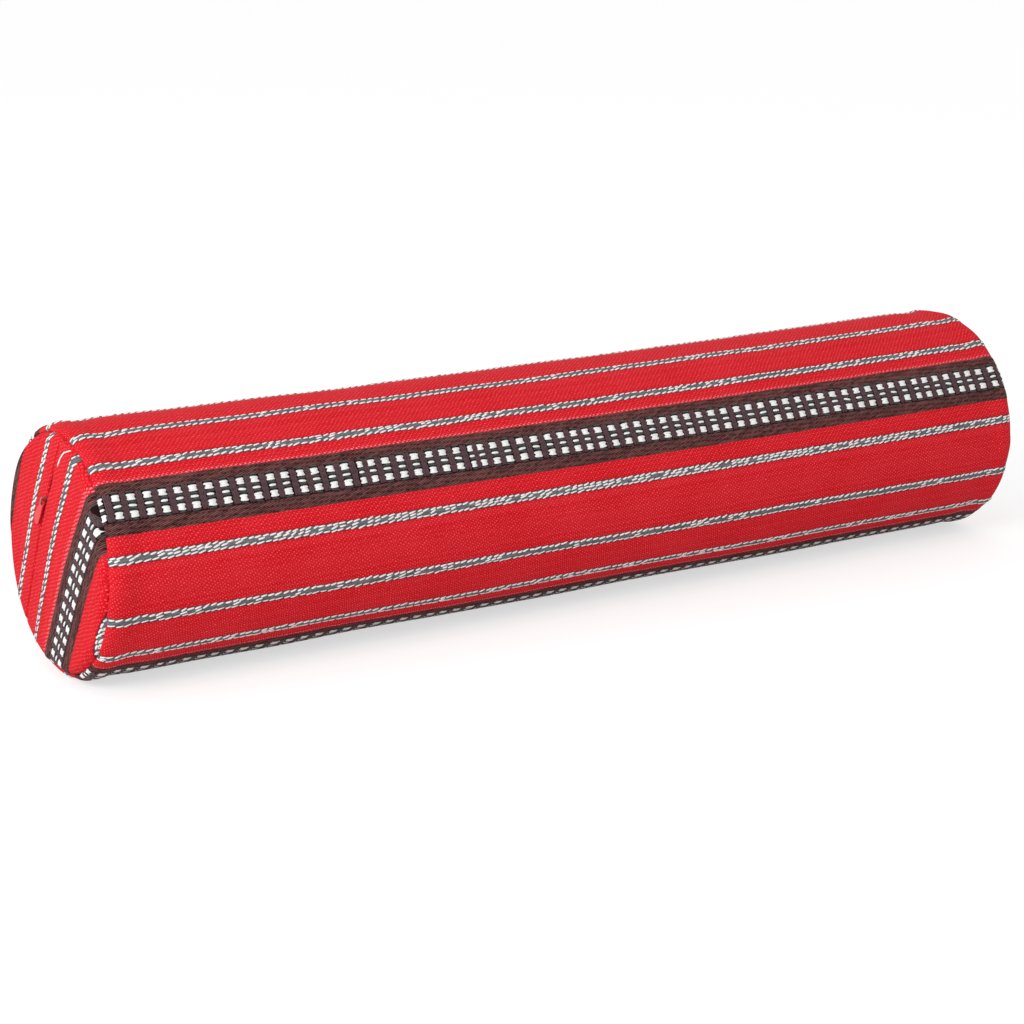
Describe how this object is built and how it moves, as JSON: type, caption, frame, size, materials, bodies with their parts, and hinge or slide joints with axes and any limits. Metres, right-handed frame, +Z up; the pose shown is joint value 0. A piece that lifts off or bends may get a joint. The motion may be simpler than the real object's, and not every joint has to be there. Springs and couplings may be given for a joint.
{
  "type": "bolster pillow",
  "caption": "Firm round bolster pillow: a foam core in an inner case, inside a striped woven cover whose end panel closes with a concealed zip.",
  "frame": {"origin": "the middle of the footprint, on the floor that the bolster lies on", "axes": "+X along the bolster, away from the end with the zip; +Z up; +Y to the back"},
  "size_m": [0.6644, 0.1518, 0.1465],
  "materials": {
    "striped_cloth": "heavy woven cloth, matt",
    "sewing_thread": "twisted thread",
    "zip_tape": "fine woven tape",
    "zip_coil": "smooth monofilament",
    "zip_metal": "plated",
    "pull_enamel": "satin enamel",
    "case_cloth": "plain calico",
    "wadding": "fleecy",
    "foam": "open-cell foam"
  },
  "bodies": {
    "cover": {"cover_tube_panel": "striped_cloth", "near_end_panel_front": "striped_cloth", "near_end_panel_rear": "striped_cloth", "far_end_panel": "striped_cloth", "near_ring_seam_thread": "sewing_thread", "far_ring_seam_thread": "sewing_thread", "lengthwise_seam_thread": "sewing_thread", "zip_seam_thread_upper": "sewing_thread", "zip_seam_thread_lower": "sewing_thread", "zip_tape_front": "zip_tape", "zip_tape_rear": "zip_tape", "zip_stitch_front": "sewing_thread", "zip_stitch_rear": "sewing_thread", "zip_coil_front": "zip_coil", "zip_coil_rear": "zip_coil", "zip_top_stop_front": "zip_metal", "zip_top_stop_rear": "zip_metal", "zip_bottom_stop": "zip_metal", "inner_case_tube": "case_cloth", "inner_case_near_end": "case_cloth", "inner_case_far_end": "case_cloth", "inner_case_near_thread": "sewing_thread", "inner_case_far_thread": "sewing_thread", "wadding_wrap": "wadding", "foam_core": "foam"},
    "slider": {"zip_slider": "zip_metal"},
    "pull": {"zip_pull": "pull_enamel"}
  },
  "joints": [
    {"name": "slider_travel", "type": "slide", "parent": "cover", "child": "slider", "axis": [-0.0373, 0.4131, -0.9099], "range_m": [-0.013, 0.063]},
    {"name": "pull_tip", "type": "hinge", "parent": "slider", "child": "pull", "pos_m": [-0.33051, 0.00702, 0.10244], "axis": [0.026, 0.7727, 0.6342], "range_deg": [0, 170]}
  ]
}
